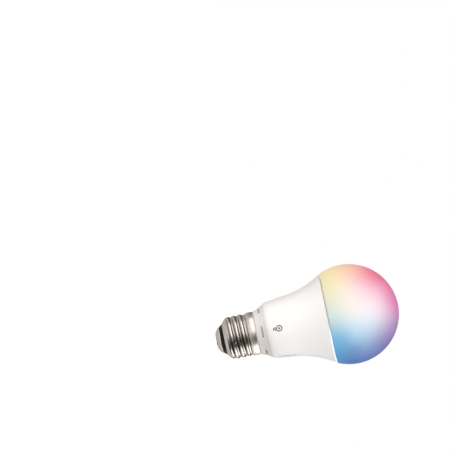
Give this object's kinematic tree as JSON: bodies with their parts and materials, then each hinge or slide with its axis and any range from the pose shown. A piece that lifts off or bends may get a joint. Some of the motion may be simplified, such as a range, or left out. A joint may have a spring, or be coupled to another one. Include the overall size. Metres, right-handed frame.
{
  "type": "smart light bulb",
  "caption": "Colour-changing light bulb with a round milky dome, flared white housing and screw base; boards, heat sink and leads inside.",
  "frame": {"origin": "centre of the contact's flat end face, at the bottom of the screw base", "axes": "+Z along the screw axis towards the dome, -Y towards the side with the printed icon"},
  "size_m": [0.06, 0.06, 0.111],
  "materials": {
    "contact_metal": "satin nickel plate over brass, dulled at the tip",
    "black_insulator": "glossy black moulding",
    "base_shell_nickel": "bright nickel plate over rolled brass sheet, warm",
    "white_plastic": "satin white moulding",
    "milky_diffuser": "milky diffuser tinted from yellow through pink and violet to blue, glowing softly",
    "silicone_bead": "cured silicone",
    "grey_print": "thin grey pad print",
    "pale_grey_print": "thin pale grey pad print",
    "pressed_aluminium": "pressed sheet, satin",
    "thermal_pad_grey": "soft filled pad",
    "white_solder_mask": "aluminium-core board under white solder mask",
    "phosphor_led": "pale package with a yellow phosphor pool",
    "colour_led": "pale package with a clear pool",
    "zinc_screw": "zinc plate",
    "green_board": "green solder mask over glass-epoxy",
    "blue_can_sleeve": "aluminium can in a dark blue sleeve",
    "black_can_sleeve": "aluminium can in a black sleeve",
    "blue_epoxy": "dipped epoxy",
    "green_lacquer": "lacquered body",
    "chip_black": "moulded chip package",
    "ferrite": "sintered ferrite",
    "black_moulding": "moulded plastic",
    "yellow_tape": "winding wrapped in yellow tape",
    "enamelled_copper": "enamelled copper wire",
    "chip_part_brown": "ceramic chip parts",
    "gold_pin": "gold flash over brass",
    "dark_board": "dark solder mask over glass-epoxy",
    "shield_tin": "tinned steel can",
    "antenna_copper": "gold-flashed copper foil",
    "red_insulation": "red wire insulation",
    "white_insulation": "white wire insulation"
  },
  "bodies": {
    "root": {"centre_contact": "contact_metal", "base_insulator": "black_insulator", "screw_shell": "base_shell_nickel", "housing": "white_plastic", "diffuser_dome": "milky_diffuser", "dome_adhesive": "silicone_bead", "printed_icon": "grey_print", "collar_marks": "pale_grey_print", "side_marks": "pale_grey_print", "heat_sink": "pressed_aluminium", "thermal_pad": "thermal_pad_grey", "led_board": "white_solder_mask", "white_leds": "phosphor_led", "colour_leds": "colour_led", "board_screws": "zinc_screw", "driver_board": "green_board", "input_capacitor": "blue_can_sleeve", "output_capacitor": "black_can_sleeve", "varistor": "blue_epoxy", "fuse_resistor": "green_lacquer", "bridge_rectifier": "chip_black", "transformer_core": "ferrite", "transformer_bobbin": "black_moulding", "transformer_winding": "yellow_tape", "choke_core": "ferrite", "choke_winding": "enamelled_copper", "safety_capacitor": "blue_epoxy", "driver_chips": "chip_black", "chip_parts": "chip_part_brown", "led_header": "black_moulding", "led_pins": "gold_pin", "radio_header": "black_moulding", "radio_pins": "gold_pin", "radio_board": "dark_board", "radio_shield": "shield_tin", "antenna": "antenna_copper", "live_lead": "red_insulation", "neutral_lead": "white_insulation"}
  },
  "joints": []
}
